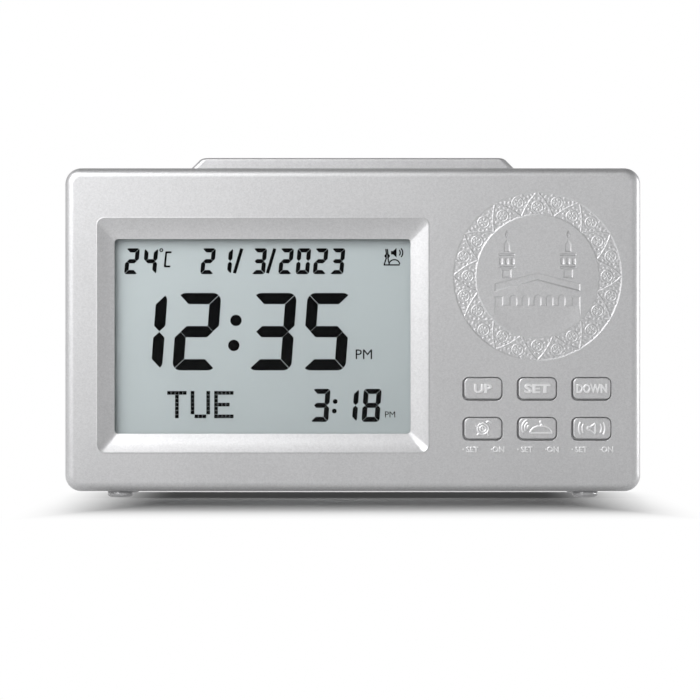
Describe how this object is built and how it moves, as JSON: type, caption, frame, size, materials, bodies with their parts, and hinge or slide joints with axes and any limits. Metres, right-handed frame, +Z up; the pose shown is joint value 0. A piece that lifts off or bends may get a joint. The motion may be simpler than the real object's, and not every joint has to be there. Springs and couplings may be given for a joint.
{
  "type": "azan alarm clock",
  "caption": "Flat silver desk clock with a bevelled display window, a round medallion field over a block of push keys, a long snooze bar on top, a rear speaker grille and a battery door.",
  "frame": {"origin": "on the table plane under the feet, under the middle of the clock's overall box", "axes": "+Z up, the display faces -Y, +X to the right of someone who faces the display"},
  "size_m": [0.186, 0.0468, 0.111],
  "materials": {
    "silver_shell": "silver lacquer with a fine metallic grain",
    "silver_key": "silver lacquer",
    "clear_window": "clear moulded sheet, polished",
    "black_frame": "moulded, satin",
    "lcd": "liquid crystal sandwich with a pale grey reflector",
    "light_guide": "milky moulded sheet",
    "zebra": "layered conductive rubber",
    "board": "green solder mask",
    "chip": "moulded package",
    "can": "plated can",
    "capacitor": "shrink sleeve",
    "bead": "dipped resin",
    "silicone": "translucent grey silicone",
    "carbon": "carbon-filled silicone",
    "steel": "pressed, zinc plated",
    "ferrite": "sintered ferrite",
    "copper": "enamelled copper wire",
    "film": "thin moulded film",
    "cell": "plain printed sleeve",
    "spring_steel": "nickel plated strip",
    "foot": "pale translucent rubber",
    "lead": "insulated twin lead",
    "ribbon": "flat grey cable"
  },
  "bodies": {
    "case": {"front_case": "silver_shell", "rear_case": "silver_shell", "display_window": "clear_window", "lcd_frame": "black_frame", "lcd_glass": "lcd", "light_guide": "light_guide", "contact_strips": "zebra", "main_board": "board", "key_board": "board", "controller_chip": "chip", "voice_chip": "chip", "quartz_crystal": "can", "capacitor": "capacitor", "temperature_bead": "bead", "keypad_mat": "silicone", "snooze_board": "board", "snooze_domes": "silicone", "speaker_basket": "steel", "speaker_magnet": "ferrite", "speaker_yoke": "steel", "battery_cell_1": "cell", "battery_cell_2": "cell", "battery_cell_3": "cell", "battery_contacts": "spring_steel", "case_screws": "steel", "main_board_screws": "steel", "key_board_screws": "steel", "snooze_board_screws": "steel", "speaker_screws": "steel", "front_left_foot": "foot", "front_right_foot": "foot", "rear_left_foot": "foot", "rear_right_foot": "foot", "ribbon_cable": "ribbon", "speaker_leads": "lead", "battery_leads": "lead", "snooze_leads": "lead"},
    "up_button": {"up_key": "silver_key", "up_pill": "carbon"},
    "set_button": {"set_key": "silver_key", "set_pill": "carbon"},
    "down_button": {"down_key": "silver_key", "down_pill": "carbon"},
    "alarm_button": {"alarm_key": "silver_key", "alarm_pill": "carbon"},
    "azan_button": {"azan_key": "silver_key", "azan_pill": "carbon"},
    "sound_button": {"sound_key": "silver_key", "sound_pill": "carbon"},
    "snooze_button": {"snooze_bar": "silver_shell", "snooze_pills": "carbon"},
    "door": {"battery_door": "silver_shell", "door_latch": "silver_shell"},
    "voice": {"voice_coil": "copper", "speaker_film": "film"}
  },
  "joints": [
    {"name": "up_press", "type": "slide", "parent": "case", "child": "up_button", "axis": [0, 1, 0], "range_m": [0, 0.001], "stiffness_N_per_m": 400, "springref_m": -0.0005, "deforming": ["keypad_mat"]},
    {"name": "set_press", "type": "slide", "parent": "case", "child": "set_button", "axis": [0, 1, 0], "range_m": [0, 0.001], "stiffness_N_per_m": 400, "springref_m": -0.0005, "deforming": ["keypad_mat"]},
    {"name": "down_press", "type": "slide", "parent": "case", "child": "down_button", "axis": [0, 1, 0], "range_m": [0, 0.001], "stiffness_N_per_m": 400, "springref_m": -0.0005, "deforming": ["keypad_mat"]},
    {"name": "alarm_press", "type": "slide", "parent": "case", "child": "alarm_button", "axis": [0, 1, 0], "range_m": [0, 0.001], "stiffness_N_per_m": 400, "springref_m": -0.0005, "deforming": ["keypad_mat"]},
    {"name": "azan_press", "type": "slide", "parent": "case", "child": "azan_button", "axis": [0, 1, 0], "range_m": [0, 0.001], "stiffness_N_per_m": 400, "springref_m": -0.0005, "deforming": ["keypad_mat"]},
    {"name": "sound_press", "type": "slide", "parent": "case", "child": "sound_button", "axis": [0, 1, 0], "range_m": [0, 0.001], "stiffness_N_per_m": 400, "springref_m": -0.0005, "deforming": ["keypad_mat"]},
    {"name": "snooze_press", "type": "slide", "parent": "case", "child": "snooze_button", "axis": [0, 0, -1], "range_m": [0, 0.0012], "stiffness_N_per_m": 500, "springref_m": -0.0008, "deforming": ["snooze_domes"]},
    {"name": "door_tilt", "type": "hinge", "parent": "case", "child": "door", "pos_m": [-0.044, 0.0234, 0.02175], "axis": [-1, 0, 0], "range_deg": [0, 60], "deforming": ["door_latch"]},
    {"name": "voice_stroke", "type": "slide", "parent": "case", "child": "voice", "axis": [0, 1, 0], "range_m": [-0.0005, 0.0005], "stiffness_N_per_m": 1500, "deforming": ["speaker_film"]}
  ]
}
